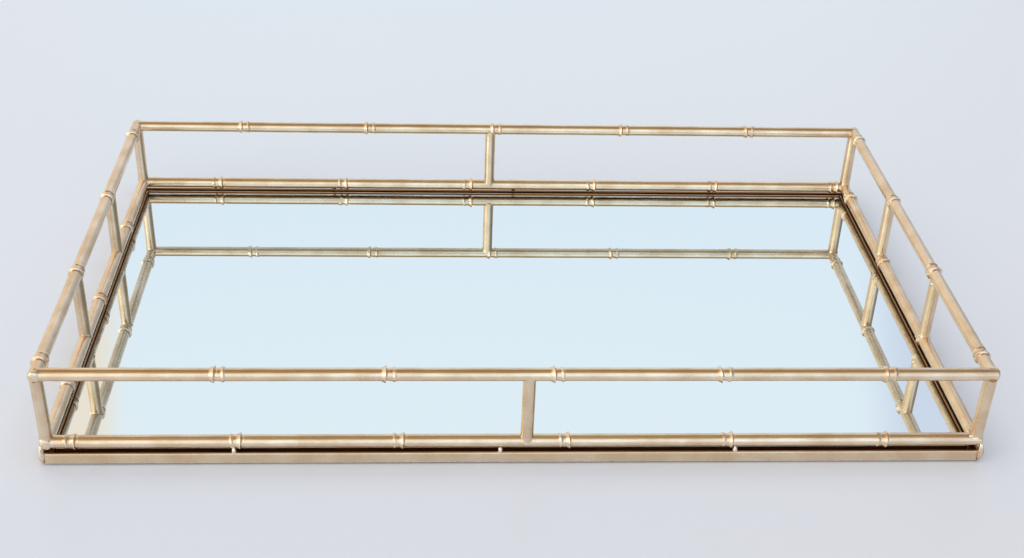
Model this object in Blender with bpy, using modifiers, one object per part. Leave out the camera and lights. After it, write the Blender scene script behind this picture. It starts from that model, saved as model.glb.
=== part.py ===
"""Mirrored vanity tray with a bamboo-style rod gallery.

A rectangular base of flat strips, with a thin lip inside them, holds a mirror. Above it stands a
gallery of round rods: a lower and an upper rail on each side, ringed like bamboo, with plain posts
between them. Short welds hold the gallery a little above the base. Under the glass are a backing
board, the tabs that keep it in, and the felt pads that the tray stands on.

Units are metres. +X is along the tray's length, +Y to its back and +Z up. The origin is in the
middle of the tray, on the surface that it stands on.
"""

import math

import bmesh
import bpy

# ---------------------------------------------------------------- driving dimensions
LENGTH = 0.455              # between the centrelines of the left and right rails
DEPTH = 0.265               # between the centrelines of the front and back rails
RAIL_RISE = 0.0396          # from the lower rails' centrelines up to the upper rails'
ROD_RADIUS = 0.003175       # rails and posts are all 6.35 mm rod
ROD_SIDES = 16
FIT_GAP = 0.0003            # left between neighbours that touch on the real tray

STRIP_THICKNESS = 0.0015
STRIP_HEIGHT = 0.0060
STRIP_EDGE_BEVEL = 0.00025
PAD_STAND = 0.0008          # how far the pads hold the strips off the table
STANDOFF = 0.0022           # clear height between a strip's top edge and the rod above it

LIP_THICKNESS = 0.0009       # a thin lip inside the strips, round the glass
LIP_INSET = 0.0021           # from the rails' centrelines in to the middle of the lip

GLASS_THICKNESS = 0.0030
GLASS_DROP = 0.0006         # the glass lies this far under the strips' top edges
GLASS_PLAY = 0.0004         # clear all round between the glass and the lip
GLASS_EDGE_BEVEL = 0.0004
BOARD_THICKNESS = 0.0012

TAB_LENGTH = 0.010
TAB_REACH = 0.008
TAB_PITCH = 0.150
TABS_PER_LONG_SIDE = 3

PAD_RADIUS = 0.006
PAD_SIDES = 24
PAD_INSET = 0.022           # from the rails' centrelines to the middle of a pad

WELD_RADIUS = 0.0011
WELD_SIDES = 12
WELD_CLIMB = 0.0008         # how far a weld climbs the rod above the rod's underside

# Bamboo rings come in pairs, 80 mm apart. On each rail: how many pairs, where the larger ring of
# the first pair is, whether that ring is the first (0) or the second (1) of its pair, and which
# way along the rail the rings' sharp faces look
PAIR_PITCH = 0.080
RING_PAIRS = {
    "upper_front": {"count": 5, "first": -0.1450, "larger": 0, "looks": 1},
    "lower_front": {"count": 6, "first": -0.2155, "larger": 1, "looks": 1},
    "upper_back": {"count": 5, "first": -0.1635, "larger": 0, "looks": 1},
    "lower_back": {"count": 6, "first": -0.1780, "larger": 1, "looks": 1},
    "upper_left": {"count": 4, "first": -0.1235, "larger": 1, "looks": -1},
    "lower_left": {"count": 3, "first": -0.0885, "larger": 1, "looks": -1},
    "upper_right": {"count": 4, "first": -0.1185, "larger": 1, "looks": -1},
    "lower_right": {"count": 3, "first": -0.0450, "larger": 1, "looks": -1},
}
LARGE_RING_RISE = 0.00085    # above the rod's surface
SMALL_RING_RISE = 0.00040
NECK_RISE = 0.00005
RING_SPACING = 0.0042        # from the first ring's tip to the second ring's
RING_FLARE = 0.0020          # the slope up to a tip
RING_TIP_HALF_WIDTH = 0.0002
RING_DROP = 0.0006           # from a tip to the foot of its sharp face
ROD_END_CHAMFER = 0.0005

FRONT_WELDS_X = (-0.1385, -0.0095, 0.1065)
SIDE_WELDS_Y = (-0.055, 0.055)
FRONT_POST_OFFSET = 0.0034   # the middle posts stand a little off the tray's centre line
BACK_POST_OFFSET = -0.0064

# ---------------------------------------------------------------- derived levels and places
HALF_LENGTH = LENGTH / 2
HALF_DEPTH = DEPTH / 2
OUTER_X = HALF_LENGTH + ROD_RADIUS
OUTER_Y = HALF_DEPTH + ROD_RADIUS
INNER_X = OUTER_X - STRIP_THICKNESS - FIT_GAP
INNER_Y = OUTER_Y - STRIP_THICKNESS - FIT_GAP

STRIP_BOTTOM = PAD_STAND
STRIP_TOP = STRIP_BOTTOM + STRIP_HEIGHT
LOWER_RAIL_Z = STRIP_TOP + STANDOFF + ROD_RADIUS
UPPER_RAIL_Z = LOWER_RAIL_Z + RAIL_RISE
GLASS_TOP = STRIP_TOP - GLASS_DROP
GLASS_BOTTOM = GLASS_TOP - GLASS_THICKNESS
BOARD_TOP = GLASS_BOTTOM - FIT_GAP
BOARD_BOTTOM = BOARD_TOP - BOARD_THICKNESS
LIP_X = HALF_LENGTH - LIP_INSET
LIP_Y = HALF_DEPTH - LIP_INSET
UNDERSIDE_PIECE_TOP = BOARD_BOTTOM - FIT_GAP
SIDE_POST_OFFSET = DEPTH / 6     # two posts share each short side into three equal openings

GOLD = (0.66, 0.50, 0.29, 1.0)
STEEL_GOLD = (0.58, 0.44, 0.26, 1.0)
WELD_GOLD = (0.72, 0.58, 0.38, 1.0)
MIRROR_SILVER = (0.86, 0.90, 0.92, 1.0)
BOARD_BROWN = (0.24, 0.15, 0.09, 1.0)
FELT_BLACK = (0.02, 0.02, 0.022, 1.0)


# ---------------------------------------------------------------- scene helpers
def clear_scene():
    for item in list(bpy.data.objects):
        bpy.data.objects.remove(item, do_unlink=True)


def new_collection(name):
    group = bpy.data.collections.new(name)
    bpy.context.scene.collection.children.link(group)
    return group


def new_material(name, color, roughness, metallic):
    material = bpy.data.materials.new(name)
    material.use_nodes = True
    shader = material.node_tree.nodes["Principled BSDF"]
    shader.inputs["Base Color"].default_value = color
    shader.inputs["Roughness"].default_value = roughness
    shader.inputs["Metallic"].default_value = metallic
    return material


def place(item, group, parent, location, rotation=(0.0, 0.0, 0.0)):
    group.objects.link(item)
    item.parent = parent
    item.location = location
    item.rotation_euler = rotation


def object_from_bmesh(name, shape, material=None):
    mesh = bpy.data.meshes.new(name)
    shape.to_mesh(mesh)
    shape.free()
    if material is not None:
        mesh.materials.append(material)
    return bpy.data.objects.new(name, mesh)


def smooth_round(mesh, angle=35.0):
    mesh.shade_smooth()
    mesh.set_sharp_from_angle(angle=math.radians(angle))


def add_bevel(item, width, segments=2):
    bevel = item.modifiers.new("rounded_edges", "BEVEL")
    bevel.width = width
    bevel.segments = segments
    bevel.limit_method = "ANGLE"


def cut_with(item, cutter):
    cut = item.modifiers.new("clear_of_" + cutter.name, "BOOLEAN")
    cut.operation = "DIFFERENCE"
    cut.solver = "EXACT"
    cut.object = cutter


# ---------------------------------------------------------------- shapes
def make_box(name, size, material):
    shape = bmesh.new()
    bmesh.ops.create_cube(shape, size=1.0)
    bmesh.ops.scale(shape, vec=size, verts=shape.verts)
    return object_from_bmesh(name, shape, material)


def make_disc(name, radius, height, sides, material):
    shape = bmesh.new()
    bmesh.ops.create_cone(shape, cap_ends=True, segments=sides, radius1=radius, radius2=radius,
                          depth=height)
    item = object_from_bmesh(name, shape, material)
    smooth_round(item.data)
    return item


def ring_pair_outline(rings):
    """One pair of rings: (distance along the rod from the larger ring's tip, rise) in order."""
    rises = (LARGE_RING_RISE, SMALL_RING_RISE)
    if rings["larger"] == 1:
        rises = (SMALL_RING_RISE, LARGE_RING_RISE)
    first = -RING_SPACING * rings["larger"]
    second = first + RING_SPACING
    return (
        (first - RING_FLARE, 0.0),
        (first - RING_TIP_HALF_WIDTH, rises[0]),
        (first + RING_TIP_HALF_WIDTH, rises[0]),
        (first + RING_DROP, NECK_RISE),
        (second - RING_FLARE, NECK_RISE),
        (second - RING_TIP_HALF_WIDTH, rises[1]),
        (second + RING_TIP_HALF_WIDTH, rises[1]),
        (second + RING_DROP, 0.0),
    )


def rail_outline(low_end, high_end, rings, extra_radius):
    """Points (height, radius) of a bamboo rod's side, from its top end to its bottom end."""
    radius = ROD_RADIUS + extra_radius
    side = []
    for index in range(rings["count"]):
        centre = rings["first"] + index * PAIR_PITCH
        for step, rise in ring_pair_outline(rings):
            side.append((centre + rings["looks"] * step, radius + rise))
    low_shoulder = low_end + ROD_END_CHAMFER
    high_shoulder = high_end - ROD_END_CHAMFER
    inside = [point for point in side if low_shoulder < point[0] < high_shoulder]
    inside.sort(reverse=True)
    top = [(high_end, 0.0), (high_end, radius - ROD_END_CHAMFER), (high_shoulder, radius)]
    bottom = [(low_shoulder, radius), (low_end, radius - ROD_END_CHAMFER), (low_end, 0.0)]
    return top + inside + bottom


def make_turned_rod(name, outline, material=None):
    """A rod turned about its own Z axis from a side outline that runs top to bottom."""
    shape = bmesh.new()
    corners = [shape.verts.new((radius, 0.0, height)) for height, radius in outline]
    for upper, lower in zip(corners, corners[1:]):
        shape.edges.new((upper, lower))
    item = object_from_bmesh(name, shape, material)
    screw = item.modifiers.new("turned", "SCREW")
    screw.axis = "Z"
    screw.angle = math.tau
    screw.steps = ROD_SIDES
    screw.render_steps = ROD_SIDES
    screw.use_merge_vertices = True
    screw.merge_threshold = 0.00001
    screw.use_smooth_shade = True
    return item


# ---------------------------------------------------------------- the tray's sub-parts
ALONG_X = (0.0, math.pi / 2, 0.0)
ALONG_Y = (-math.pi / 2, 0.0, 0.0)


def rail_plan():
    """Each rail: name, level, middle of its line, direction, its two ends and its rings.

    The left rails run through at both ends. The front rails butt against them and run through at
    the right, the right rails butt against the front ones and run through at the back, and the
    back rails butt at both ends. A butting end stops at the other rod's centreline and is then
    coped round it.
    """
    plan = []
    for level, height in (("upper", UPPER_RAIL_Z), ("lower", LOWER_RAIL_Z)):
        left, right, front = (f"rail_{level}_{side}" for side in ("left", "right", "front"))
        for side, place_of_side, turn, ends, butts_on in (
            ("front", (0.0, -HALF_DEPTH, height), ALONG_X, (-HALF_LENGTH, OUTER_X), [left]),
            ("back", (0.0, HALF_DEPTH, height), ALONG_X, (-HALF_LENGTH, HALF_LENGTH), [left, right]),
            ("left", (-HALF_LENGTH, 0.0, height), ALONG_Y, (-OUTER_Y, OUTER_Y), []),
            ("right", (HALF_LENGTH, 0.0, height), ALONG_Y, (-HALF_DEPTH, OUTER_Y), [front]),
        ):
            plan.append({"name": f"rail_{level}_{side}", "place": place_of_side, "turn": turn,
                         "ends": ends, "rings": RING_PAIRS[f"{level}_{side}"], "butts_on": butts_on})
    return plan


def make_rails(group, cutters, parent, material):
    """The eight rails, and a fatter hidden copy of each that clears its neighbours."""
    clearances = {}
    rails = {}
    for rail in rail_plan():
        low_end, high_end = rail["ends"]
        outline = rail_outline(low_end, high_end, rail["rings"], 0.0)
        item = make_turned_rod(rail["name"], outline, material)
        place(item, group, parent, rail["place"], rail["turn"])
        rails[rail["name"]] = item
        reach = 2 * ROD_RADIUS
        outline = rail_outline(low_end - reach, high_end + reach, rail["rings"], FIT_GAP)
        cutter = make_turned_rod(rail["name"] + "_clearance", outline)
        cutter.hide_render = True
        cutter.display_type = "WIRE"
        place(cutter, cutters, parent, rail["place"], rail["turn"])
        clearances[rail["name"]] = cutter
    for rail in rail_plan():
        for neighbour in rail["butts_on"]:
            cut_with(rails[rail["name"]], clearances[neighbour])
    return clearances


def post_plan():
    """Each post: name, place, and the sides whose rails it stands between."""
    plan = []
    for x_side, x_name in ((-1, "left"), (1, "right")):
        for y_side, y_name in ((-1, "front"), (1, "back")):
            x = x_side * HALF_LENGTH
            plan.append((f"post_{y_name}_{x_name}", x, y_side * HALF_DEPTH, (y_name, x_name)))
            plan.append((f"post_{x_name}_side_{y_name}", x, y_side * SIDE_POST_OFFSET, (x_name,)))
    plan.append(("post_front_middle", FRONT_POST_OFFSET, -HALF_DEPTH, ("front",)))
    plan.append(("post_back_middle", BACK_POST_OFFSET, HALF_DEPTH, ("back",)))
    return plan


def make_posts(group, parent, clearances, material):
    middle = (LOWER_RAIL_Z + UPPER_RAIL_Z) / 2
    for name, x, y, sides in post_plan():
        item = make_disc(name, ROD_RADIUS, RAIL_RISE, ROD_SIDES, material)
        place(item, group, parent, (x, y, middle))
        for level in ("upper", "lower"):
            for side in sides:
                cut_with(item, clearances[f"rail_{level}_{side}"])


def make_base_strips(group, parent, material):
    middle = (STRIP_BOTTOM + STRIP_TOP) / 2
    side_size = (STRIP_THICKNESS, 2 * OUTER_Y, STRIP_HEIGHT)
    long_size = (2 * INNER_X, STRIP_THICKNESS, STRIP_HEIGHT)
    x = OUTER_X - STRIP_THICKNESS / 2
    y = OUTER_Y - STRIP_THICKNESS / 2
    for name, size, spot in (
        ("base_strip_left", side_size, (-x, 0.0, middle)),
        ("base_strip_right", side_size, (x, 0.0, middle)),
        ("base_strip_front", long_size, (0.0, -y, middle)),
        ("base_strip_back", long_size, (0.0, y, middle)),
    ):
        item = make_box(name, size, material)
        add_bevel(item, STRIP_EDGE_BEVEL)
        place(item, group, parent, spot)


def weld_places():
    """The standoff welds: name, place over a strip's top edge, and the sides whose rods they meet."""
    x_line = OUTER_X - STRIP_THICKNESS / 2 - FIT_GAP
    y_line = OUTER_Y - STRIP_THICKNESS / 2 - FIT_GAP
    places = []
    for number, x in enumerate(FRONT_WELDS_X, start=1):
        places.append((f"standoff_weld_front_{number}", x, -y_line, ("front",)))
        places.append((f"standoff_weld_back_{number}", -x, y_line, ("back",)))
    for number, y in enumerate(SIDE_WELDS_Y, start=1):
        places.append((f"standoff_weld_left_{number}", -x_line, y, ("left",)))
        places.append((f"standoff_weld_right_{number}", x_line, y, ("right",)))
    for x_side, x_name in ((-1, "left"), (1, "right")):
        for y_side, y_name in ((-1, "front"), (1, "back")):
            name = f"standoff_weld_corner_{y_name}_{x_name}"
            places.append((name, x_side * x_line, y_side * y_line, (y_name, x_name)))
    return places


def make_standoff_welds(group, parent, clearances, material):
    """Short stubs from a strip's top edge up to the underside of the rod above it."""
    bottom = STRIP_TOP + FIT_GAP
    top = STRIP_TOP + STANDOFF + WELD_CLIMB
    for name, x, y, sides in weld_places():
        item = make_disc(name, WELD_RADIUS, top - bottom, WELD_SIDES, material)
        place(item, group, parent, (x, y, (bottom + top) / 2))
        for side in sides:
            cut_with(item, clearances[f"rail_lower_{side}"])


def make_lips(group, parent, material):
    """Thin upright lips on the board, round the glass, level with the strips' top edges."""
    bottom = BOARD_TOP + FIT_GAP
    height = STRIP_TOP - bottom
    side_size = (LIP_THICKNESS, 2 * LIP_Y + LIP_THICKNESS, height)
    long_size = (2 * LIP_X - LIP_THICKNESS - 2 * FIT_GAP, LIP_THICKNESS, height)
    for name, size, x, y in (
        ("inner_lip_left", side_size, -LIP_X, 0.0),
        ("inner_lip_right", side_size, LIP_X, 0.0),
        ("inner_lip_front", long_size, 0.0, -LIP_Y),
        ("inner_lip_back", long_size, 0.0, LIP_Y),
    ):
        item = make_box(name, size, material)
        add_bevel(item, STRIP_EDGE_BEVEL)
        place(item, group, parent, (x, y, bottom + height / 2))


def make_glass_and_board(group, parent, glass_material, board_material):
    margin = LIP_THICKNESS / 2 + GLASS_PLAY
    glass_size = (2 * (LIP_X - margin), 2 * (LIP_Y - margin), GLASS_THICKNESS)
    glass = make_box("mirror_glass", glass_size, glass_material)
    add_bevel(glass, GLASS_EDGE_BEVEL)
    place(glass, group, parent, (0.0, 0.0, (GLASS_TOP + GLASS_BOTTOM) / 2))
    board = make_box("backing_board", (2 * INNER_X, 2 * INNER_Y, BOARD_THICKNESS), board_material)
    place(board, group, parent, (0.0, 0.0, (BOARD_TOP + BOARD_BOTTOM) / 2))


def make_retaining_tabs(group, parent, material):
    height = UNDERSIDE_PIECE_TOP - STRIP_BOTTOM
    z = STRIP_BOTTOM + height / 2
    x = INNER_X - TAB_REACH / 2
    y = INNER_Y - TAB_REACH / 2
    spots = [("left", -x, 0.0, TAB_REACH, TAB_LENGTH), ("right", x, 0.0, TAB_REACH, TAB_LENGTH)]
    for index in range(TABS_PER_LONG_SIDE):
        along = (index - (TABS_PER_LONG_SIDE - 1) / 2) * TAB_PITCH
        spots.append((f"front_{index + 1}", along, -y, TAB_LENGTH, TAB_REACH))
        spots.append((f"back_{index + 1}", along, y, TAB_LENGTH, TAB_REACH))
    for name, spot_x, spot_y, size_x, size_y in spots:
        item = make_box("retaining_tab_" + name, (size_x, size_y, height), material)
        place(item, group, parent, (spot_x, spot_y, z))


def make_pads(group, parent, material):
    for x_side, x_name in ((-1, "left"), (1, "right")):
        for y_side, y_name in ((-1, "front"), (1, "back")):
            item = make_disc(f"felt_pad_{y_name}_{x_name}", PAD_RADIUS, UNDERSIDE_PIECE_TOP, PAD_SIDES,
                             material)
            spot = (x_side * (HALF_LENGTH - PAD_INSET), y_side * (HALF_DEPTH - PAD_INSET),
                    UNDERSIDE_PIECE_TOP / 2)
            place(item, group, parent, spot)


def main():
    clear_scene()
    tray = new_collection("vanity_tray")
    cutters = new_collection("cutters")
    base = bpy.data.objects.new("tray_frame", None)
    tray.objects.link(base)

    clearances = make_rails(tray, cutters, base, new_material("gallery_gold", GOLD, 0.34, 0.9))
    make_posts(tray, base, clearances, new_material("post_gold", GOLD, 0.38, 0.9))
    make_base_strips(tray, base, new_material("base_gold", STEEL_GOLD, 0.42, 0.85))
    make_lips(tray, base, new_material("lip_gold", STEEL_GOLD, 0.42, 0.85))
    make_standoff_welds(tray, base, clearances, new_material("weld_gold", WELD_GOLD, 0.45, 0.85))
    make_glass_and_board(tray, base, new_material("mirror", MIRROR_SILVER, 0.02, 1.0),
                         new_material("hardboard", BOARD_BROWN, 0.8, 0.0))
    make_retaining_tabs(tray, base, new_material("tab_gold", STEEL_GOLD, 0.5, 0.8))
    make_pads(tray, base, new_material("felt", FELT_BLACK, 0.95, 0.0))


main()
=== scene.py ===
"""Mirrored vanity tray with a bamboo-style rod gallery: its looks, built round the CAD frame.

The rods, posts, base strips, welds, tabs and pads are modelled again in fine detail over their CAD
nodes. The mirror and its backing board keep their CAD shapes. Units are metres, with +X along the
tray's length, +Y to its back and +Z up, and the tray stands on the floor at z = 0.
"""

import math

import bmesh
import bpy
from mathutils import Matrix, Vector, noise


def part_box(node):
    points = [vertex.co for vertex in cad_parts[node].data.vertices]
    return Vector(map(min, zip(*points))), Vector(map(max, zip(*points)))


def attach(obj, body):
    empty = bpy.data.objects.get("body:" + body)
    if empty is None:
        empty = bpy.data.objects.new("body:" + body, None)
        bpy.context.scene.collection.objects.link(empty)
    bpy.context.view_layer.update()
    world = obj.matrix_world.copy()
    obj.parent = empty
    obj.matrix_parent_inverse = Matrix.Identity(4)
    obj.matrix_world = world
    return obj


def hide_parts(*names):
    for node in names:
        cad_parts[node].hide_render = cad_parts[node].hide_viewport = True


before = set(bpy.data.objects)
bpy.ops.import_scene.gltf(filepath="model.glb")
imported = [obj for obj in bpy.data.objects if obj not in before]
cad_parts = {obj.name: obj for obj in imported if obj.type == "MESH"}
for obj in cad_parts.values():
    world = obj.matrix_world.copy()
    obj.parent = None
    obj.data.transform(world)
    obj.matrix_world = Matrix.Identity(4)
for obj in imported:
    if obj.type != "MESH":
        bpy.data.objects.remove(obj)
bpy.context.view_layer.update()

MM = 0.001
BODY = "root"

# ---------------------------------------------------------------- measures taken from the frame


def middle_of(node):
    low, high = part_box(node)
    return (low + high) / 2


def size_of(node):
    low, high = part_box(node)
    return high - low


HALF_X = -middle_of("rail_upper_left").x           # out to the left and right rails' centrelines
HALF_Y = -middle_of("rail_upper_front").y
ROD = size_of("post_front_middle").x / 2           # radius of every rod
OUTER_X = HALF_X + ROD
OUTER_Y = HALF_Y + ROD
LEVELS = {"lower": middle_of("rail_lower_left").z, "upper": middle_of("rail_upper_left").z}
STRIP_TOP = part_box("base_strip_front")[1].z

# ---------------------------------------------------------------- fine shape of the metalwork
ROD_SIDES = 48
STATION_STEP = 4.0 * MM        # between rings of points where a rod is plain
WANDER = 0.10 * MM             # how far a rod strays from its straight line
WANDER_LENGTH = 70 * MM
DENT = 0.035 * MM              # shallow unevenness of a rod's surface
DENT_LENGTH = 9 * MM

COPE_RUN = 1.3 * MM            # length of the flared, welded end where one rod meets another
COPE_FLARE = 0.38 * MM
COPE_SINK = 0.70 * MM          # a welded end reaches this far into the other rod
COPE_STEPS = (0.0, 0.3, 0.55, 0.75, 0.9, 1.0)
COPE_REACH = 0.97              # share of a rod's half-width at which the cope stops deepening
COPE_UNEVEN = 0.9
ROUND_END = 1.5 * MM           # length of a rounded, ground-off open end
ROUND_POWER = 2.4
ROUND_STEPS = 9
ROUND_SHORT = 0.995            # the rounding stops this share of the way, so the end isn't a point
END_LUMP = 0.30 * MM
END_LEAST = MM / 20            # the smallest radius of its rings
END_WEAR = 0.55
WELD_WEAR = 0.45
END_OVERHANG = 0.4 * MM        # two open ends stand out a little more than the others
WELD_CALM = 8 * MM             # a rod's unevenness dies away this near its ends

# Bamboo rings come in pairs 80 mm apart. For each rail: how many pairs, where the larger ring of
# the first pair is, whether it is the first (0) or second (1) of its pair, which way along the
# rail the rings' sharp faces look, and how far each pair is from its even place, in mm.
PAIR_PITCH = 80 * MM
RING_PAIRS = {
    "upper_front": {"count": 5, "first": -0.1450, "larger": 0, "looks": 1},
    "lower_front": {"count": 6, "first": -0.2155, "larger": 1, "looks": 1,
                    "shifts": (1.5, 0.0, -1.4, -0.5, 0.0, -2.6)},
    "upper_back": {"count": 5, "first": -0.1635, "larger": 0, "looks": 1,
                   "shifts": (0.8, -0.8, -1.4, 0.0, 0.5)},
    "lower_back": {"count": 6, "first": -0.1780, "larger": 1, "looks": 1},
    "upper_left": {"count": 4, "first": -0.1235, "larger": 1, "looks": -1},
    "lower_left": {"count": 3, "first": -0.0885, "larger": 1, "looks": -1},
    "upper_right": {"count": 4, "first": -0.1185, "larger": 1, "looks": -1,
                    "shifts": (0.0, -1.0, -2.6, -2.6)},
    "lower_right": {"count": 3, "first": -0.0450, "larger": 1, "looks": -1},
}
RING_SPACING = 4.2 * MM        # between the two tips of a pair
RING_FLARE = 2.3 * MM          # length of the hollow slope up to a tip
RING_DROP = 0.55 * MM          # length of the sharp face after a tip
RING_CREST = 0.22 * MM         # half-width of the rounded tip
LARGE_RISE = 0.95 * MM
SMALL_RISE = 0.42 * MM
SMALL_HALF_WIDTH = 0.75 * MM
RISE_VARIES = 0.25             # from ring to ring
LARGE_UNEVEN = 0.18            # round a ring
SMALL_UNEVEN = 0.75
GROOVE_DEPTH = 0.22 * MM       # the rod is pinched in just past a larger ring's sharp face
GROOVE_HALF_WIDTH = 0.45 * MM
RING_TILT = 0.45 * MM          # how far a ring leans along the rod from one side to the other
RING_NEAR = 1.1 * MM           # fine steps are used this near a tip
RING_FINE_STEP = 0.11 * MM
RING_COARSE_STEP = 0.35 * MM
RING_REACH = 3.0 * MM          # past the outer tips of a pair
RING_SWING = 1.6               # brings the noise round a ring up to about 1
RING_LEAST = 0.12              # share of a ring's height that is left at its lowest


# ---------------------------------------------------------------- small helpers
def smooth_step(value):
    value = min(max(value, 0.0), 1.0)
    return value * value * (3 - 2 * value)


def ripple(seed, *place):
    """Smooth noise from about -1 to 1 at a place of up to three numbers, the same on each run."""
    spot = list(place) + [0.0] * (3 - len(place))
    return noise.noise(Vector((spot[0] + 17.3 * seed, spot[1] - 9.1 * seed, spot[2] + 3.7 * seed)))


def frange(start, stop, step):
    count = max(1, round((stop - start) / step))
    return [start + (stop - start) * index / count for index in range(count + 1)]


QUARTERS = ((1, 1), (-1, 1), (-1, -1), (1, -1))   # the signs of a section's corners, in turn


def loft(name, rings, material, wear=None, sharp_degrees=60):
    """A closed solid skinned over rings of points. Each ring has as many points as the next."""
    sides = len(rings[0])
    corners = [point for ring in rings for point in ring]
    faces = [tuple(range(sides))[::-1]]
    for row in range(len(rings) - 1):
        base = row * sides
        for side in range(sides):
            turn = (side + 1) % sides
            faces.append((base + side, base + turn, base + sides + turn, base + sides + side))
    faces.append(tuple(range((len(rings) - 1) * sides, len(rings) * sides)))
    mesh = bpy.data.meshes.new(name)
    mesh.from_pydata(corners, [], faces)
    if wear is not None:
        layer = mesh.attributes.new("wear", "FLOAT", "POINT")
        layer.data.foreach_set("value", [value for ring in wear for value in ring])
    shape = bmesh.new()
    shape.from_mesh(mesh)
    bmesh.ops.recalc_face_normals(shape, faces=shape.faces)
    shape.to_mesh(mesh)
    shape.free()
    mesh.shade_smooth()
    mesh.set_sharp_from_angle(angle=math.radians(sharp_degrees))
    mesh.materials.append(material)
    piece = bpy.data.objects.new(name, mesh)
    bpy.context.scene.collection.objects.link(piece)
    return piece


def stand_for(piece, slot, *nodes):
    """The piece rides on the tray and stands for CAD nodes, which are hidden. The slot is not used.
    """
    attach(piece, BODY)
    if nodes:
        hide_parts(*nodes)


# ---------------------------------------------------------------- materials
class Surface:
    """A Principled material, with short ways to add and join the nodes that vary it."""

    def __init__(self, name, **constants):
        self.material = bpy.data.materials.new(name)
        self.material.use_nodes = True
        self.tree = self.material.node_tree
        self.shader = self.tree.nodes["Principled BSDF"]
        for socket, value in constants.items():
            self.shader.inputs[socket.replace("_", " ")].default_value = value
        self.point = self.add("ShaderNodeTexCoord").outputs["Object"]

    def add(self, kind, **settings):
        node = self.tree.nodes.new(kind)
        for key, value in settings.items():
            setattr(node, key, value)
        return node

    def feed(self, socket, value):
        if isinstance(value, bpy.types.NodeSocket):
            self.tree.links.new(value, socket)
        else:
            socket.default_value = value

    def noise(self, size, stretch=(1, 1, 1), detail=3.0, offset=(0, 0, 0)):
        """Noise whose features are about size across; stretch lengthens them along an axis."""
        spread = self.add("ShaderNodeMapping")
        self.feed(spread.inputs["Vector"], self.point)
        spread.inputs["Location"].default_value = offset
        spread.inputs["Scale"].default_value = [1 / (size * longer) for longer in stretch]
        texture = self.add("ShaderNodeTexNoise")
        self.feed(texture.inputs["Vector"], spread.outputs["Vector"])
        texture.inputs["Scale"].default_value = 1.0
        texture.inputs["Detail"].default_value = detail
        return texture.outputs["Fac"]

    def spread(self, value, low, high, to_low=0.0, to_high=1.0, smooth=False):
        node = self.add("ShaderNodeMapRange")
        node.interpolation_type = "SMOOTHSTEP" if smooth else "LINEAR"
        self.feed(node.inputs["Value"], value)
        for socket, number in (("From Min", low), ("From Max", high),
                               ("To Min", to_low), ("To Max", to_high)):
            node.inputs[socket].default_value = number
        return node.outputs["Result"]

    def sum(self, operation, first, second):
        node = self.add("ShaderNodeMath", operation=operation)
        self.feed(node.inputs[0], first)
        self.feed(node.inputs[1], second)
        return node.outputs["Value"]

    def mix(self, share, first, second, blend="MIX"):
        node = self.add("ShaderNodeMix", data_type="RGBA", blend_type=blend)
        self.feed(node.inputs[0], share)
        self.feed(node.inputs[6], first)
        self.feed(node.inputs[7], second)
        return node.outputs[2]

    def attribute(self, name):
        return self.add("ShaderNodeAttribute", attribute_name=name).outputs["Fac"]

    def axes(self):
        node = self.add("ShaderNodeSeparateXYZ")
        self.feed(node.inputs[0], self.point)
        return node.outputs

    def bump(self, height, depth, under=None):
        node = self.add("ShaderNodeBump")
        node.inputs["Strength"].default_value = 1.0
        node.inputs["Distance"].default_value = depth
        self.feed(node.inputs["Height"], height)
        if under is not None:
            self.feed(node.inputs["Normal"], under)
        return node.outputs["Normal"]

    def set(self, socket, value):
        self.feed(self.shader.inputs[socket], value)


CLOUD_SIZE = 14 * MM           # of the soft change from deep to bright gold
GRAIN_SIZE = 0.45 * MM
BRUSH_WIDTH = 0.35 * MM
SPECK_SIZE = 0.9 * MM
WEAR_PATCH = 1.6 * MM          # wear is broken up into patches about this size
BRUSH_SHARE = 0.25             # how much each mark changes the colour
SPECK_SHARE = 0.30
WEAR_SHARE = 0.75
COAT_ROUGHNESS = 0.12
CLOUD_ROUGHENS = (0.04, -0.03)   # the change in roughness where the gold is deep and is bright
WEAR_ROUGHENS = 0.06
BRUSH_DEPTH = 0.6              # of the brush marks, as a share of the grain's depth


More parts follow.
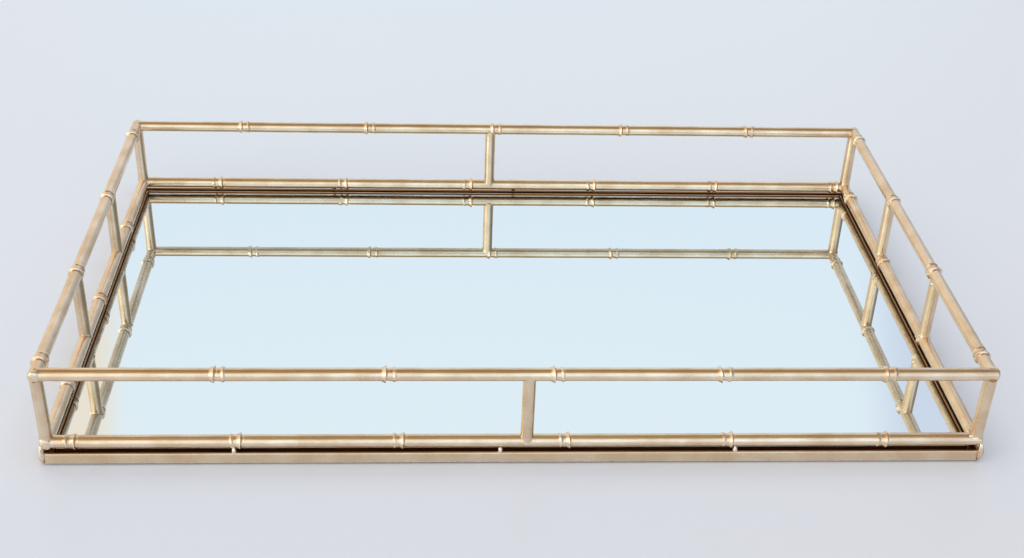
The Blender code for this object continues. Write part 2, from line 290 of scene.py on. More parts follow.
def gold_finish(name, deep, bright, worn, along=(1, 1, 1), rough=(0.20, 0.33), grain_depth=0.010,
                coat=0.15):
    """Satin champagne gold over steel: clouded, finely grained, brushed, paler where it wears.

    along lengthens the brush marks on the axis that the piece runs on. The mesh's "wear" attribute
    is positive where the gold is rubbed and negative where brown painted shade is laid on.
    """
    gold = Surface(name, Metallic=1.0, Coat_Weight=coat, Coat_Roughness=COAT_ROUGHNESS)
    cloud = gold.spread(gold.noise(CLOUD_SIZE, detail=4), 0.35, 0.65)
    grain = gold.noise(GRAIN_SIZE, detail=2)
    marks = gold.noise(BRUSH_WIDTH, stretch=along, detail=2)
    speck = gold.spread(gold.noise(SPECK_SIZE, detail=1, offset=(0.3, 0.1, 0.2)), 0.66, 0.78)
    wear_and_shade_mark = gold.attribute("wear")
    wear = gold.sum("MULTIPLY", gold.spread(wear_and_shade_mark, 0.0, 1.0),
                    gold.spread(gold.noise(WEAR_PATCH, detail=4), 0.40, 0.62))
    # painted shade: below 0 the mark lays brown over the gold, as shade in the groove under the
    # rails
    painted_shade = gold.spread(wear_and_shade_mark, -1.0, 0.0, 1.0, 0.0)
    color = gold.mix(cloud, deep, bright)
    color = gold.mix(gold.spread(marks, 0.38, 0.62, 0.0, BRUSH_SHARE), color, deep)
    color = gold.mix(gold.sum("MULTIPLY", speck, SPECK_SHARE), color, worn)
    color = gold.mix(gold.sum("MULTIPLY", wear, WEAR_SHARE), color, worn)
    gold.set("Base Color", gold.mix(painted_shade, color, PAINTED_SHADE_BROWN))
    low, high = rough
    roughness = gold.spread(marks, 0.35, 0.65, low, high)
    roughness = gold.sum("ADD", roughness, gold.spread(cloud, 0.0, 1.0, *CLOUD_ROUGHENS))
    gold.set("Roughness", gold.sum("ADD", roughness, gold.sum("MULTIPLY", wear, WEAR_ROUGHENS)))
    normal = gold.bump(grain, grain_depth * MM)
    gold.set("Normal", gold.bump(marks, grain_depth * BRUSH_DEPTH * MM, normal))
    return gold.material


DEEP_GOLD = (0.725, 0.55, 0.37, 1)
BRIGHT_GOLD = (0.865, 0.72, 0.545, 1)
# the posts' gold is a darker copy of the rails', painted shade on the posts
DEEP_POST_SHADED = (0.68, 0.505, 0.325, 1)
BRIGHT_POST_SHADED = (0.82, 0.66, 0.48, 1)
WORN_GOLD = (0.92, 0.86, 0.76, 1)
DEEP_BASE = (0.715, 0.54, 0.355, 1)
BRIGHT_BASE = (0.83, 0.67, 0.48, 1)
WORN_STEEL = (0.92, 0.89, 0.82, 1)
WORN_WELD = (0.97, 0.88, 0.72, 1)
PAINTED_SHADE_BROWN = (0.36, 0.15, 0.035, 1)   # painted shade, brown, laid in the groove round the glass under the rails
BRUSH_STRETCH = 26                # brush marks are this many times as long as they are wide

GOLD = {
    axis: gold_finish("rod_gold_along_" + axis, deep, bright, WORN_GOLD,
                      [BRUSH_STRETCH if axis == letter else 1 for letter in "xyz"])
    for axis, deep, bright in (("x", DEEP_GOLD, BRIGHT_GOLD), ("y", DEEP_GOLD, BRIGHT_GOLD),
                               ("z", DEEP_POST_SHADED, BRIGHT_POST_SHADED))
}
BASE_GOLD = {
    axis: gold_finish("base_gold_along_" + axis, DEEP_BASE, BRIGHT_BASE, WORN_STEEL,
                      [BRUSH_STRETCH * 2 if axis == letter else 1 for letter in "xyz"],
                      rough=(0.28, 0.40), coat=0.04)
    for axis in "xy"
}
WELD_GOLD = gold_finish("weld_gold_lumpy", DEEP_GOLD, WORN_GOLD, WORN_WELD,
                        rough=(0.24, 0.38), grain_depth=0.03)
TAB_GOLD = gold_finish("tab_gold_stamped", DEEP_BASE, BRIGHT_BASE, WORN_STEEL, rough=(0.36, 0.52))

MIRROR_EDGE = 3.4 * MM         # how far in from the glass's edge its silvering has darkened
EDGE_FADE = (-0.4 * MM, 0.9 * MM)
EDGE_SHARE = 0.8               # how much the darkening changes the colour
EDGE_ROUGHENS = 0.10
CREEP_SIZE = 7 * MM            # of the ragged line that the darkened silvering follows
SMUDGE_SIZE = 60 * MM
SMUDGE_ROUGHNESS = (0.004, 0.022)
SILVER = (0.80, 0.885, 0.915, 1)
TIRED_SILVER = (0.36, 0.31, 0.23, 1)

BOARD_FIBRES = ((0.10, 0.055, 0.028, 1), (0.27, 0.165, 0.09, 1))
BOARD_CLOUD = (0.19, 0.12, 0.07, 1)
# painted shade for the board's top face, which shows only in the groove round the glass
BOARD_PAINTED_SHADE = ((0.085, 0.032, 0.006, 1), (0.19, 0.080, 0.022, 1))
PAINTED_SHADE_FADE = (0.4 * MM, 0.1 * MM)   # the board's painted shade thins out between these depths
BOARD_FIBRE_SIZE = 1.1 * MM
BOARD_FIBRE_DEPTH = 0.10 * MM
BOARD_CLOUD_SIZE = 18 * MM
BOARD_CLOUD_SHARE = 0.4
SCREEN_PITCH = 1.4 * MM        # of the screen pattern pressed into the board
SCREEN_DEPTH = 0.06 * MM

FELT_TONES = ((0.012, 0.012, 0.013, 1), (0.045, 0.045, 0.05, 1))
FELT_FIBRE_SIZE = 0.30 * MM
FELT_TUFT_SIZE = 1.3 * MM
FELT_DEPTH = 0.12 * MM


def mirror_finish():
    """Silvered glass: clean and bright, faintly smudged, and gone dark along its edges."""
    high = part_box("mirror_glass")[1]
    mirror = Surface("mirror_silvered", Metallic=1.0, Coat_Weight=0.5, Coat_Roughness=0.0)
    x, y, _ = mirror.axes()
    inward_x = mirror.sum("SUBTRACT", high.x, mirror.sum("ABSOLUTE", x, 0.0))
    inward_y = mirror.sum("SUBTRACT", high.y, mirror.sum("ABSOLUTE", y, 0.0))
    inward = mirror.sum("MINIMUM", inward_x, inward_y)
    creep = mirror.noise(CREEP_SIZE, detail=6)
    edge = mirror.sum("SUBTRACT", inward, mirror.sum("MULTIPLY", creep, MIRROR_EDGE))
    dark = mirror.spread(edge, *EDGE_FADE, 1.0, 0.0, smooth=True)
    stain = mirror.sum("MULTIPLY", dark, EDGE_SHARE)
    mirror.set("Base Color", mirror.mix(stain, SILVER, TIRED_SILVER))
    smudge = mirror.spread(mirror.noise(SMUDGE_SIZE, detail=5), 0.45, 0.75, *SMUDGE_ROUGHNESS)
    haze = mirror.sum("MULTIPLY", dark, EDGE_ROUGHENS)
    mirror.set("Roughness", mirror.sum("ADD", smudge, haze))
    return mirror.material


def board_finish():
    """Hardboard: pressed brown fibres with a screen pattern, and painted darker on its top face as
    shade.
    """
    board = Surface("hardboard_pressed", Roughness=0.82)
    fibres = board.noise(BOARD_FIBRE_SIZE, stretch=(3, 1, 1), detail=6)
    cloud = board.noise(BOARD_CLOUD_SIZE, detail=3)
    color = board.mix(board.spread(fibres, 0.3, 0.7), *BOARD_FIBRES)
    color = board.mix(board.spread(cloud, 0.3, 0.7, 0.0, BOARD_CLOUD_SHARE), color, BOARD_CLOUD)
    x, y, z = board.axes()
    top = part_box("backing_board")[1].z
    # painted shade: the top face is darkened as the groove round the glass is shaded
    shaded_top = board.spread(z, top - PAINTED_SHADE_FADE[0], top - PAINTED_SHADE_FADE[1])
    painted_shade = board.mix(board.spread(fibres, 0.3, 0.7), *BOARD_PAINTED_SHADE)
    board.set("Base Color", board.mix(shaded_top, color, painted_shade))
    weave = []
    for axis in (x, y):
        turned = board.sum("MULTIPLY", axis, math.tau / SCREEN_PITCH)
        weave.append(board.sum("SINE", turned, 0.0))
    screen = board.sum("MULTIPLY", weave[0], weave[1])
    normal = board.bump(screen, SCREEN_DEPTH)
    board.set("Normal", board.bump(fibres, BOARD_FIBRE_DEPTH, normal))
    return board.material


def felt_finish():
    """Black wool felt, matted in short fibres."""
    felt = Surface("felt_matted", Roughness=0.96, Sheen_Weight=0.35, Sheen_Roughness=0.5)
    fibres = felt.noise(FELT_FIBRE_SIZE, stretch=(4, 1, 1), detail=5)
    tufts = felt.noise(FELT_TUFT_SIZE, detail=4)
    felt.set("Base Color", felt.mix(felt.spread(tufts, 0.3, 0.7), *FELT_TONES))
    normal = felt.bump(tufts, FELT_DEPTH)
    felt.set("Normal", felt.bump(fibres, FELT_DEPTH, normal))
    return felt.material


MIRROR = mirror_finish()
HARDBOARD = board_finish()
FELT = felt_finish()


# ---------------------------------------------------------------- bamboo rods and posts
class RingPair:
    """Two rings pressed into a rod, each a hollow slope up to a tip and a sharp face after it."""

    def __init__(self, larger_tip, larger_index, looks, seed):
        self.looks = looks
        self.seed = seed
        first = larger_tip - looks * RING_SPACING * larger_index
        self.rings = []
        for index in range(2):
            large = index == larger_index
            lean = ripple(seed + 0.37 * index, 4.1, 0.7)
            self.rings.append({
                "large": large,
                "tip": first + looks * RING_SPACING * index,
                "rise": (LARGE_RISE if large else SMALL_RISE)
                        * (1 + RISE_VARIES * ripple(seed, 2.2, index)),
                "uneven": LARGE_UNEVEN if large else SMALL_UNEVEN,
                "lean": RING_TILT * (0.4 + abs(lean)) * (1 if lean > 0 else -1),
                "turn": math.tau * (0.5 + 0.5 * ripple(seed + index, 7.7, 1.1)),
            })

    def stations(self):
        tips = [ring["tip"] for ring in self.rings]
        low, high = min(tips) - RING_REACH, max(tips) + RING_REACH
        places = [low]
        while places[-1] < high:
            near = min(abs(places[-1] - tip) for tip in tips) < RING_NEAR
            places.append(places[-1] + (RING_FINE_STEP if near else RING_COARSE_STEP))
        return places

    def rise(self, along, angle):
        """How far the surface stands out there, and how worn it is, from 0 to 1."""
        most, wear, groove = 0.0, 0.0, 0.0
        for index, ring in enumerate(self.rings):
            lean = ring["lean"] * math.cos(angle - ring["turn"])
            past = (along - ring["tip"] - lean) * self.looks
            if not ring["large"]:
                shape = math.exp(-(past / SMALL_HALF_WIDTH) ** 2)
            elif past <= 0:
                slope = max(0.0, 1 + past / RING_FLARE)
                shape = slope ** 1.5
            else:
                shape = 1 - smooth_step((past - RING_CREST) / RING_DROP)
                groove = max(groove, math.exp(-((past - RING_CREST - RING_DROP - GROOVE_HALF_WIDTH)
                                                / GROOVE_HALF_WIDTH) ** 2))
            around = ripple(self.seed + 5 * index, 1.3 * math.cos(angle), 1.3 * math.sin(angle),
                            index)
            share = max(RING_LEAST, 1 + ring["uneven"] * RING_SWING * around)
            most = max(most, ring["rise"] * share * shape)
            wear = max(wear, shape ** 3 * min(share, 1.0))
        return most - GROOVE_DEPTH * groove, wear


def rod(name, material, origin, along, up, low_end, high_end, pairs, seed):
    """A round rod in fine detail.

    origin is a point on its line, and places along it are measured from there. An end is
    ("open", place), which is rounded off, or ("welded", place, lines), where place is on the
    centreline of the rods it meets and lines are their directions.
    """
    side = along.cross(up)
    angles = [math.tau * step / ROD_SIDES for step in range(ROD_SIDES)]

    def straight_limit(end, sign):
        if end[0] == "open":
            return end[1] - sign * ROUND_END
        return end[1] - sign * (ROD + COPE_RUN)

    low, high = straight_limit(low_end, -1), straight_limit(high_end, 1)
    places = set(frange(low, high, STATION_STEP))
    for pair in pairs:
        near = pair.stations()
        places = {place for place in places if not near[0] < place < near[-1]}
        places.update(place for place in near if low < place < high)

    def wandering(place):
        return (side * ripple(seed, place / WANDER_LENGTH, 1.5)
                + up * ripple(seed, place / WANDER_LENGTH, 8.5)) * WANDER

    def fade(place):
        """Nothing strays where the rod is welded to its neighbours."""
        return smooth_step((place - low) / WELD_CALM) * smooth_step((high - place) / WELD_CALM)

    def point(place, angle, radius):
        spoke = side * math.cos(angle) + up * math.sin(angle)
        return origin + along * place + spoke * radius + wandering(place) * fade(place)

    def body_ring(place):
        ring, worn = [], []
        for angle in angles:
            rise, wear = 0.0, 0.0
            for pair in pairs:
                more, rubbed = pair.rise(place, angle)
                rise, wear = rise + more, max(wear, rubbed)
            dent = DENT * ripple(seed + 2, place / DENT_LENGTH, 1.1 * math.cos(angle),
                                 1.1 * math.sin(angle))
            ring.append(point(place, angle, ROD + rise + dent * fade(place)))
            worn.append(wear)
        return ring, worn

    def end_rings(end, sign):
        start = straight_limit(end, sign)
        rings = []
        if end[0] == "open":
            for step in range(1, ROUND_STEPS + 1):
                part = math.sin(math.pi / 2 * step / ROUND_STEPS) * ROUND_SHORT
                radius = ROD * (1 - part ** ROUND_POWER) ** (1 / ROUND_POWER)
                ring = []
                for angle in angles:
                    lump = END_LUMP * part * ripple(seed + 9, 2 * math.cos(angle),
                                                    2 * math.sin(angle), 3 * part)
                    ring.append(point(start + sign * ROUND_END * part, angle,
                                      max(radius + lump, END_LEAST)))
                rings.append((ring, [END_WEAR * part] * ROD_SIDES))
            return rings
        _, meeting, lines = end
        for part in COPE_STEPS[1:]:
            ring = []
            for angle in angles:
                spoke = side * math.cos(angle) + up * math.sin(angle)
                depth = 0.0
                for line in lines:
                    across = along.cross(line)
                    offset = min(abs(spoke.dot(across)), COPE_REACH) * ROD
                    depth = max(depth, math.sqrt(ROD * ROD - offset * offset))
                stop = meeting - sign * (depth - COPE_SINK)
                uneven = 1 + COPE_UNEVEN * ripple(seed + 4, 2.2 * math.cos(angle),
                                                  2.2 * math.sin(angle), sign)
                radius = ROD + COPE_FLARE * uneven * part ** 3
                ring.append(point(start + (stop - start) * part, angle, radius))
            rings.append((ring, [WELD_WEAR * part] * ROD_SIDES))
        return rings

    rows = end_rings(low_end, -1)[::-1]
    rows += [body_ring(place) for place in sorted(places)]
    rows += end_rings(high_end, 1)
    return loft(name, [ring for ring, _ in rows], material, [worn for _, worn in rows])


X, Y, Z = Vector((1, 0, 0)), Vector((0, 1, 0)), Vector((0, 0, 1))

RAIL_ENDS = {
    "front": (("welded", -HALF_X, [Y]), ("open", OUTER_X + END_OVERHANG)),
    "back": (("welded", -HALF_X, [Y]), ("welded", HALF_X, [Y])),
    "left": (("open", -OUTER_Y - END_OVERHANG), ("open", OUTER_Y)),
    "right": (("welded", -HALF_Y, [X]), ("open", OUTER_Y)),
}
RAIL_LINES = {
    "front": (Vector((0, -HALF_Y, 0)), X, "x"),
    "back": (Vector((0, HALF_Y, 0)), X, "x"),
    "left": (Vector((-HALF_X, 0, 0)), Y, "y"),
    "right": (Vector((HALF_X, 0, 0)), Y, "y"),
}


def make_rails():
    seed = 1.0
    for level, height in LEVELS.items():
        for where, (foot, along, letter) in RAIL_LINES.items():
            seed += 1.0
            plan = RING_PAIRS[f"{level}_{where}"]
            pairs = []
            for index in range(plan["count"]):
                shift = plan["shifts"][index] * MM if "shifts" in plan else 0.0
                pairs.append(RingPair(plan["first"] + index * PAIR_PITCH + shift, plan["larger"],
                                      plan["looks"], seed + 0.13 * index))
            node = f"rail_{level}_{where}"
            low_end, high_end = RAIL_ENDS[where]
            piece = rod("bamboo_" + node, GOLD[letter], foot + Z * height, along, Z, low_end,
                        high_end, pairs, seed)
            stand_for(piece, "gallery_gold", node)


def make_posts():
    seed = 20.0
    for node in sorted(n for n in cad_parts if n.startswith("post_")):
        seed += 1.0
        foot = middle_of(node)
        on_side = abs(abs(foot.x) - HALF_X) < MM
        on_end = abs(abs(foot.y) - HALF_Y) < MM
        lines = ([Y] if on_side else []) + ([X] if on_end else [])
        ends = [("welded", height, lines) for height in (LEVELS["lower"], LEVELS["upper"])]
        piece = rod("round_" + node, GOLD["z"], Vector((foot.x, foot.y, 0)), Z, X, ends[0],
                    ends[1], (), seed)
        stand_for(piece, "gallery_gold", node)


# ---------------------------------------------------------------- base strips
STRIP_ROUND = 0.45 * MM        # radius of a strip's lower edges
TOP_ROUND_MOST = 1.1 * MM      # its upper edges are rounder, up to this radius
STRIP_TOP_SHARE = 0.42         # or up to this share of its thickness
LIP_ROUND = 0.25 * MM
LIP_TOP_SHARE = 0.30
TOP_EDGE_WEAR = 0.22
LOW_EDGE_WEAR = 0.75
INNER_PAINTED_SHADE = -0.9             # the mark of a bar's inner face: brown painted shade
# how much brown painted shade lies on a strip's top, under the rail
STRIP_TOP_PAINTED_SHADE = 0.95
PAINTED_SHADE_SPREAD = 2.5             # how fast the brown painted shade deepens over the inner top edge
STRIP_STEP = 0.9 * MM
STRIP_BURR = 0.07 * MM         # unevenness of its lower edge
BURR_LENGTH = 1.7 * MM
STRIP_WAVE = 0.12 * MM
WAVE_LENGTH = 55 * MM
WAVE_HEIGHT = 9 * MM
STRIP_SEAM = 0.06 * MM         # between the front and back strips' ends and the side strips
BAR_END_ROUND = ((0.0, 0.18 * MM), (0.1 * MM, 0.07 * MM))   # (from the end, inset) of its end rings
BAR_END_RUN = 0.3 * MM
CORNER_STEPS = 6
FACE_STEPS = 6


def corner_mark(quarter, part, top_shade):
    """How worn (above 0) or brown with painted shade (below 0) a bar's rounded edge is, part way
    round.
    """
    if quarter == 1:
        return INNER_PAINTED_SHADE * min(top_shade + (1 - top_shade) * PAINTED_SHADE_SPREAD * part, 1)
    if quarter == 2:
        return INNER_PAINTED_SHADE * (1 - part)
    if quarter == 3:
        return LOW_EDGE_WEAR
    if part < 1 - 1.5 / CORNER_STEPS:
        return TOP_EDGE_WEAR
    return INNER_PAINTED_SHADE * top_shade * (1.0 if part == 1 else 0.5)


def bar_section(width, height, low_radius, top_radius, face_mark, top_shade):
    """Points round a flat bar's section, as (out, up, wear mark) from its middle.

    The last argument sets how much brown painted shade is on its top, from 0 to 1. Its inner face
    always has it.
    """
    points = []
    for quarter, (sign_out, sign_up) in enumerate(QUARTERS):
        radius = top_radius if sign_up > 0 else low_radius
        corner = Vector((sign_out * (width / 2 - radius), sign_up * (height / 2 - radius)))
        for step in range(CORNER_STEPS + 1):
            part = step / CORNER_STEPS
            turn = math.pi / 2 * (quarter + part)
            points.append((corner.x + radius * math.cos(turn), corner.y + radius * math.sin(turn),
                           corner_mark(quarter, part, top_shade)))
        if quarter in (1, 3):
            for step in range(1, FACE_STEPS):
                part = step / FACE_STEPS
                top, foot = height / 2 - top_radius, low_radius - height / 2
                level = top + (foot - top) * (part if sign_up > 0 else 1 - part)
                mark = INNER_PAINTED_SHADE if sign_out < 0 else face_mark
                points.append((sign_out * width / 2, level, mark))
    return points


def make_bar(name, node, along, out, letter, low, high, seed, radius=STRIP_ROUND,
             burr_depth=STRIP_BURR, top_share=STRIP_TOP_SHARE, face_mark=0.0,
             top_shade=STRIP_TOP_PAINTED_SHADE):
    """A flat bar standing on edge between two places along its line."""
    middle = middle_of(node)
    size = size_of(node)
    width, height = min(size.x, size.y), size.z
    top_radius = min(top_share * width, TOP_ROUND_MOST)
    line = middle - along * middle.dot(along)
    rings, worn = [], []
    rows = [(low + run, inset) for run, inset in BAR_END_ROUND]
    rows += [(place, 0.0) for place in frange(low + BAR_END_RUN, high - BAR_END_RUN, STRIP_STEP)]
    rows += [(high - run, inset) for run, inset in BAR_END_ROUND[::-1]]
    for place, inset in rows:
        ring, rubbed = [], []
        for across, rise, wear in bar_section(width - 2 * inset, height - 2 * inset, radius,
                                              top_radius, face_mark, top_shade):
            wave = STRIP_WAVE * ripple(seed, place / WAVE_LENGTH, rise / WAVE_HEIGHT)
            burr = 0.0
            if rise < -height / 2 + 2 * radius and across > 0:
                burr = burr_depth * ripple(seed + 3, place / BURR_LENGTH, rise / MM)
            ring.append(line + along * place + out * (across + wave + burr * 0.6)
                        + Z * (rise + abs(burr) * 0.8))
            rubbed.append(wear)
        rings.append(ring)
        worn.append(rubbed)
    piece = loft(name + node, rings, BASE_GOLD[letter], worn, sharp_degrees=70)
    stand_for(piece, "base_gold", node)


def make_strips():
    inner_x = OUTER_X - size_of("base_strip_left").x
    reach = inner_x - STRIP_SEAM
    make_bar("flat_", "base_strip_left", Y, -X, "y", -OUTER_Y, OUTER_Y, 41)
    make_bar("flat_", "base_strip_right", Y, X, "y", -OUTER_Y, OUTER_Y, 42)
    make_bar("flat_", "base_strip_front", X, -Y, "x", -reach, reach, 43)
    make_bar("flat_", "base_strip_back", X, Y, "x", -reach, reach, 44)


def make_lips():
    """The thin lip round the glass, in a groove between it and the strips, with brown painted shade
    on its faces.
    """
    for number, (where, along, out, letter) in enumerate(
        (("left", Y, -X, "y"), ("right", Y, X, "y"), ("front", X, -Y, "x"), ("back", X, Y, "x"))
    ):
        node = "inner_lip_" + where
        low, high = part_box(node)
        make_bar("thin_", node, along, out, letter, low.dot(along), high.dot(along), 51 + number,
                 radius=LIP_ROUND, burr_depth=0.0, top_share=LIP_TOP_SHARE, face_mark=INNER_PAINTED_SHADE,
                 top_shade=0.0)


# ---------------------------------------------------------------- welds
LUMP_ROWS = 16
LUMP_SIDES = 24
LUMP_WEAR = 0.8
LUMP_SWELL = 0.28              # how uneven a lump is, as a share of its size
LUMP_FINE_SWELL = 0.4          # its smaller bumps, as a share of that
# For the corner welds and the others: half-sizes on X, Y and Z, then how far the middle is above
# the strips' tops and out from the CAD weld's middle, all in mm.
CORNER_LUMP = ((1.6, 1.6, 4.6), -0.5, 0.7)
STANDOFF_LUMP = ((1.15, 1.05, 1.95), 1.0, 0.35)


def make_lump(name, middle, radii, seed, nodes=()):
    """A lump of weld. radii are its half-sizes on X, Y and Z."""
    rings = []
    for row in range(LUMP_ROWS + 1):
        tilt = math.pi * (row + 0.25) / (LUMP_ROWS + 0.5) - math.pi / 2
        ring = []
        for step in range(LUMP_SIDES):
            turn = math.tau * step / LUMP_SIDES
            way = Vector((math.cos(tilt) * math.cos(turn), math.cos(tilt) * math.sin(turn),
                          math.sin(tilt)))
            swell = 1 + LUMP_SWELL * ripple(seed, *(way * 1.9)) + (
                LUMP_SWELL * LUMP_FINE_SWELL * ripple(seed + 5, *(way * 4.7)))
            ring.append(middle + (X * way.x * radii[0] + Y * way.y * radii[1]
                                  + Z * way.z * radii[2]) * swell)
        rings.append(ring)
    worn = [[LUMP_WEAR] * LUMP_SIDES] * len(rings)
    stand_for(loft(name, rings, WELD_GOLD, worn), "weld_gold", *nodes)


def make_standoff_welds():
    seed = 60.0
    for node in sorted(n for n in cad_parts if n.startswith("standoff_weld_")):
        seed += 1.0
        low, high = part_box(node)
        middle = (low + high) / 2
        out = Vector((math.copysign(1, middle.x), math.copysign(1, middle.y), 0))
        if "corner" in node:
            radii, rise, shift = CORNER_LUMP
        else:
            radii, rise, shift = STANDOFF_LUMP
            out.x *= "left" in node or "right" in node
            out.y *= "front" in node or "back" in node
        spot = Vector((middle.x, middle.y, STRIP_TOP + rise * MM)) + out * shift * MM
        make_lump("lump_" + node, spot, [radius * MM for radius in radii], seed, [node])


# Short beads of weld left where posts meet the rails. Each has its post, as the signs of X and Y
# ("middle" for the front middle post, "side" for the front one of a short side's two posts), the
# rail that it is on, its own middle from where post and rail cross, and its half-sizes, in mm.
BEADS = {
    "front_middle_foot": ("middle", -1, "lower", (0.0, -1.9, 2.6), (1.7, 0.8, 0.9)),
    "front_right_foot": (1, -1, "lower", (-2.3, -1.5, 2.9), (2.0, 0.8, 0.8)),
    "front_right_inner": (1, -1, "lower", (-2.9, 2.6, 2.4), (1.2, 1.1, 1.0)),
    "front_left_foot": (-1, -1, "lower", (-1.0, -2.2, 2.3), (1.8, 1.1, 1.1)),
    "back_right_head": (1, 1, "upper", (1.4, -3.2, 0.8), (1.6, 1.5, 1.7)),
    "back_left_head": (-1, 1, "upper", (2.1, -2.2, -2.0), (1.1, 1.1, 0.9)),
    "left_side_foot": (-1, "side", "lower", (2.0, -1.4, 2.8), (1.0, 1.3, 0.9)),
    "right_side_foot": (1, "side", "lower", (-2.6, -1.0, 2.6), (1.2, 1.0, 1.3)),
    "right_side_head": (1, "side", "upper", (-1.9, -1.0, -3.2), (1.3, 1.5, 1.4)),
}


def make_joint_beads():
    places_x = {-1: -HALF_X, 1: HALF_X, "middle": middle_of("post_front_middle").x}
    places_y = {-1: -HALF_Y, 1: HALF_Y, "side": -abs(middle_of("post_left_side_front").y)}
    for number, (name, (x, y, level, shift, radii)) in enumerate(BEADS.items()):
        spot = Vector((places_x[x], places_y[y], LEVELS[level])) + Vector(shift) * MM
        make_lump("weld_bead_" + name, spot, [radius * MM for radius in radii], 90.0 + number)


# ---------------------------------------------------------------- under the tray
PAD_ROUND = 0.5 * MM
PAD_POINTS = 64
PAD_FRAY = 0.12 * MM
# Rings over a pad, from its underside to its top: (inset as a share of twice PAD_ROUND, share of
# its height).
PAD_RINGS = ((3.0, 0.04), (1.2, 0.0), (0.35, 0.03), (0.08, 0.16), (0.0, 0.35), (0.0, 0.65),
             (0.1, 0.9), (0.4, 1.0), (3.0, 1.0))
# The same over a tab, with the inset in mm. The first ones are the dish where it is welded.
TAB_RINGS = ((3.4, 0.30), (2.6, 0.28), (2.2, 0.02), (0.5, 0.0), (0.12, 0.06), (0.0, 0.25),
             (0.0, 0.85), (0.15, 1.0), (3.4, 1.0))
TAB_CORNER = 1.4 * MM
TAB_CORNER_LEAST = 0.2 * MM
TAB_CORNER_STEPS = 6


def make_pads():
    seed = 120.0
    for node in sorted(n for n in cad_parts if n.startswith("felt_pad_")):
        seed += 1.0
        low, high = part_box(node)
        middle = (low + high) / 2
        radius, height = (high.x - low.x) / 2, high.z - low.z
        rings = []
        for inset, level in PAD_RINGS:
            ring = []
            for step in range(PAD_POINTS):
                turn = math.tau * step / PAD_POINTS
                reach = radius - inset * PAD_ROUND * 2
                reach -= PAD_FRAY * abs(ripple(seed, 5 * math.cos(turn), 5 * math.sin(turn), level))
                ring.append(Vector((middle.x + reach * math.cos(turn),
                                    middle.y + reach * math.sin(turn), low.z + height * level)))
            rings.append(ring)
        stand_for(loft("soft_" + node, rings, FELT), "felt", node)


def rounded_outline(half_x, half_y, radius):
    points = []
    for quarter, (sign_x, sign_y) in enumerate(QUARTERS):
        for step in range(TAB_CORNER_STEPS + 1):
            turn = math.pi / 2 * (quarter + step / TAB_CORNER_STEPS)
            points.append((sign_x * (half_x - radius) + radius * math.cos(turn),
                           sign_y * (half_y - radius) + radius * math.sin(turn)))
    return points


def make_tabs():
    """Stamped tabs with rounded corners and a shallow pressed dish where each is spot-welded."""
    for node in sorted(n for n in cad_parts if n.startswith("retaining_tab_")):
        low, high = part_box(node)
        middle = (low + high) / 2
        half_x, half_y = (high.x - low.x) / 2, (high.y - low.y) / 2
        rings = []
        for inset, level in TAB_RINGS:
            outline = rounded_outline(half_x - inset * MM, half_y - inset * MM,
                                      max(TAB_CORNER_LEAST, TAB_CORNER - inset * MM / 3))
            height = low.z + (high.z - low.z) * level
            rings.append([Vector((middle.x + x, middle.y + y, height)) for x, y in outline])
        piece = loft("stamped_" + node, rings, TAB_GOLD, sharp_degrees=50)
        stand_for(piece, "base_gold", node)


def finish_cad_nodes():
    """The glass and its board keep their CAD shapes and take finished surfaces."""
    for node, material in (("mirror_glass", MIRROR), ("backing_board", HARDBOARD)):
        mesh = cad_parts[node].data
        mesh.materials.clear()
        mesh.materials.append(material)


# ---------------------------------------------------------------- floor, light and camera
FLOOR_REACH = 6.0
# painted light: the floor is bluer to the left and warmer to the right
FLOOR_LEFT = (0.78, 0.845, 0.955, 1)
FLOOR_RIGHT = (0.80, 0.84, 0.925, 1)
FLOOR_HAZE = (0.76, 0.80, 0.89, 1)
FLOOR_HAZE_SIZE = 0.35
FLOOR_PAINTED_LIGHT = ((0.955, 0.93, 0.92, 1), (1.015, 1.06, 1.05, 1))   # painted light: darker and warmer at its front, brighter and bluer at its back


def make_floor():
    signs = ((-1, -1), (1, -1), (1, 1), (-1, 1))
    corners = [(x * FLOOR_REACH, y * FLOOR_REACH, 0) for x, y in signs]
    mesh = bpy.data.meshes.new("floor")
    mesh.from_pydata(corners, [], [(0, 1, 2, 3)])
    surface = Surface("floor_pale_lacquer", Roughness=0.30, Specular_IOR_Level=0.35)
    x, y, _ = surface.axes()
    color = surface.mix(surface.spread(x, -0.5, 0.5, smooth=True), FLOOR_LEFT, FLOOR_RIGHT)
    haze = surface.spread(surface.noise(FLOOR_HAZE_SIZE, detail=2), 0.3, 0.7, 0.0, 0.12)
    color = surface.mix(haze, color, FLOOR_HAZE)
    # painted light: the floor grows brighter and bluer from front to back
    depth = surface.mix(surface.spread(y, -0.25, 0.50), *FLOOR_PAINTED_LIGHT)
    surface.set("Base Color", surface.mix(1.0, color, depth, blend="MULTIPLY"))
    mesh.materials.append(surface.material)
    floor = bpy.data.objects.new("floor", mesh)
    bpy.context.scene.collection.objects.link(floor)


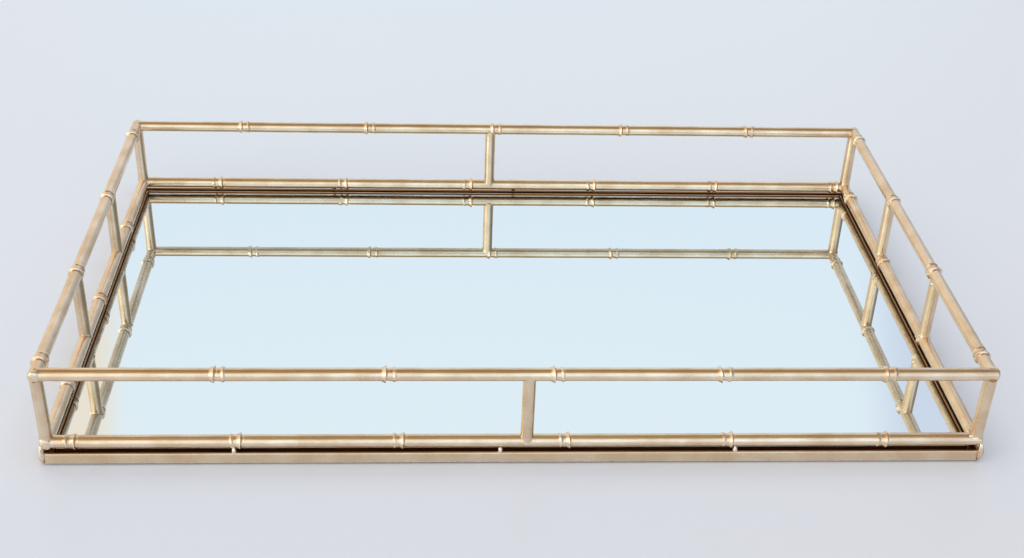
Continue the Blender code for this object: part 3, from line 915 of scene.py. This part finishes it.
# The studio's light by direction, as (place, colour) along each ramp. The three are multiplied.
SKY_BY_HEIGHT = [              # from the horizon to straight up: white walls and a dim warm ceiling
    (0.0, (0.97, 0.975, 1.0, 1)), (0.45, (0.96, 0.97, 1.0, 1)), (0.62, (1.03, 1.01, 1.0, 1)),
    (0.75, (0.86, 0.78, 0.68, 1)), (0.90, (0.40, 0.28, 0.145, 1)), (1.0, (0.38, 0.265, 0.135, 1)),
]
SKY_BY_DEPTH = [               # from the front to the back
    (0.0, (1.20, 1.37, 1.50, 1)), (0.42, (1.08, 1.16, 1.22, 1)), (0.62, (0.88, 0.945, 0.99, 1)),
    (1.0, (0.88, 0.945, 0.99, 1)),
]
SKY_BY_SIDE = [                # from the left to the right: a cream wall, white, then a dim side
    (0.0, (1.25, 1.08, 0.84, 1)), (0.385, (1.12, 0.89, 0.70, 1)), (0.397, (1.0, 1.0, 1.0, 1)),
    (0.645, (1.0, 1.0, 1.0, 1)), (0.665, (0.82, 0.81, 0.89, 1)), (0.76, (0.74, 0.72, 0.76, 1)),
    (0.88, (0.36, 0.32, 0.29, 1)), (1.0, (0.30, 0.26, 0.23, 1)),
]


def make_sky():
    """Soft light from all round, which the gold and the mirror show."""
    world = bpy.data.worlds.new("studio")
    bpy.context.scene.world = world
    world.use_nodes = True
    tree = world.node_tree
    background = tree.nodes["Background"]
    way = tree.nodes.new("ShaderNodeTexCoord").outputs["Generated"]
    split = tree.nodes.new("ShaderNodeSeparateXYZ")
    tree.links.new(way, split.inputs[0])

    def ramp(value, low, high, stops):
        spread = tree.nodes.new("ShaderNodeMapRange")
        tree.links.new(value, spread.inputs["Value"])
        spread.inputs["From Min"].default_value = low
        spread.inputs["From Max"].default_value = high
        node = tree.nodes.new("ShaderNodeValToRGB")
        node.color_ramp.interpolation = "EASE"
        tree.links.new(spread.outputs["Result"], node.inputs["Fac"])
        bands = node.color_ramp.elements
        bands[0].position, bands[0].color = stops[0]
        bands[1].position, bands[1].color = stops[-1]
        for position, color in stops[1:-1]:
            bands.new(position).color = color
        return node.outputs["Color"]

    def product(first, second):
        node = tree.nodes.new("ShaderNodeMix")
        node.data_type, node.blend_type = "RGBA", "MULTIPLY"
        node.inputs[0].default_value = 1.0
        tree.links.new(first, node.inputs[6])
        tree.links.new(second, node.inputs[7])
        return node.outputs[2]

    by_height = ramp(split.outputs["Z"], 0.0, 1.0, SKY_BY_HEIGHT)
    by_depth = ramp(split.outputs["Y"], -1.0, 1.0, SKY_BY_DEPTH)
    by_side = ramp(split.outputs["X"], -1.0, 1.0, SKY_BY_SIDE)
    light = product(product(by_height, by_depth), by_side)
    tree.links.new(light, background.inputs["Color"])
    background.inputs["Strength"].default_value = 1.0


def make_lamp(name, spot, size, power, color, gloss=True):
    """A soft box that looks at the tray. Without gloss, it lights the floor but isn't reflected."""
    data = bpy.data.lights.new(name, "AREA")
    data.shape = "RECTANGLE"
    data.size, data.size_y = size
    data.energy = power
    data.color = color
    lamp = bpy.data.objects.new(name, data)
    bpy.context.scene.collection.objects.link(lamp)
    lamp.location = spot
    lamp.rotation_euler = (-Vector(spot)).to_track_quat("-Z", "Y").to_euler()
    lamp.visible_glossy = gloss


def make_lamps():
    make_lamp("window_left", spot=(-2.1, -1.3, 0.75), size=(1.3, 0.9), power=7,
              color=(0.97, 0.985, 1.0))
    make_lamp("soft_box_above", spot=(0.0, -0.15, 1.95), size=(1.4, 0.8), power=13,
              color=(0.63, 0.785, 1.0), gloss=False)


CAMERA_SPOT = (-0.04328, -0.67282, 0.44138)
CAMERA_DOWN = 31.847           # degrees below the horizon
CAMERA_TURN = -3.853           # degrees to the left of +Y
CAMERA_ROLL = -2.24
CAMERA_LENS = 49.349           # on a 36 mm sensor


def make_camera():
    data = bpy.data.cameras.new("camera")
    data.sensor_width = 36.0
    data.lens = CAMERA_LENS
    data.clip_start, data.clip_end = 0.01, 50.0
    camera = bpy.data.objects.new("camera", data)
    bpy.context.scene.collection.objects.link(camera)
    camera.matrix_world = (
        Matrix.Translation(CAMERA_SPOT)
        @ Matrix.Rotation(math.radians(CAMERA_TURN), 4, "Z")
        @ Matrix.Rotation(math.radians(90 - CAMERA_DOWN), 4, "X")
        @ Matrix.Rotation(math.radians(-CAMERA_ROLL), 4, "Z")
    )
    bpy.context.scene.camera = camera


make_rails()
make_posts()
make_strips()
make_lips()
make_standoff_welds()
make_joint_beads()
make_pads()
make_tabs()
finish_cad_nodes()
make_floor()
make_sky()
make_lamps()
make_camera()
bpy.context.scene.view_settings.view_transform = "Standard"

bpy.context.view_layer.update()
